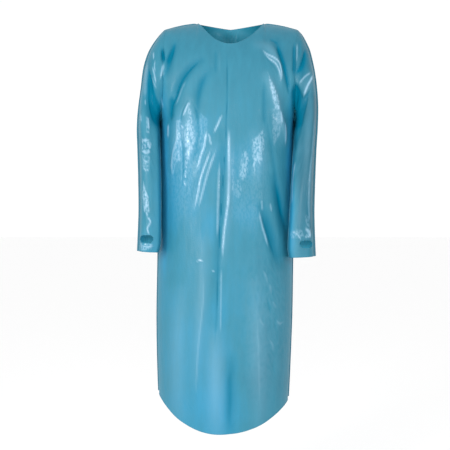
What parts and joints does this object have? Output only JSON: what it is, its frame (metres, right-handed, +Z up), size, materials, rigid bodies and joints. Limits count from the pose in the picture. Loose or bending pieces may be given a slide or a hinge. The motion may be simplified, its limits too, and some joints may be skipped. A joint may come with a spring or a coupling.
{
  "type": "disposable smock",
  "caption": "Long-sleeved film smock with a round neck, thumb slots near the cuffs and a curved hem, hollow as worn.",
  "frame": {"origin": "middle of the neck opening at the height of the shoulder line, where the wearer's shoulders carry the smock", "axes": "+Z up along the garment, -Y towards its front, +X towards the wearer's left"},
  "size_m": [0.5203, 0.2896, 1.1739],
  "materials": {
    "front_film": "gloss",
    "back_film": "gloss",
    "sleeve_front_right_film": "gloss",
    "sleeve_back_right_film": "gloss",
    "sleeve_front_left_film": "gloss",
    "sleeve_back_left_film": "gloss"
  },
  "bodies": {
    "root": {"front_panel": "front_film", "back_panel": "back_film", "sleeve_front_right": "sleeve_front_right_film", "sleeve_back_right": "sleeve_back_right_film", "sleeve_front_left": "sleeve_front_left_film", "sleeve_back_left": "sleeve_back_left_film"}
  },
  "joints": []
}
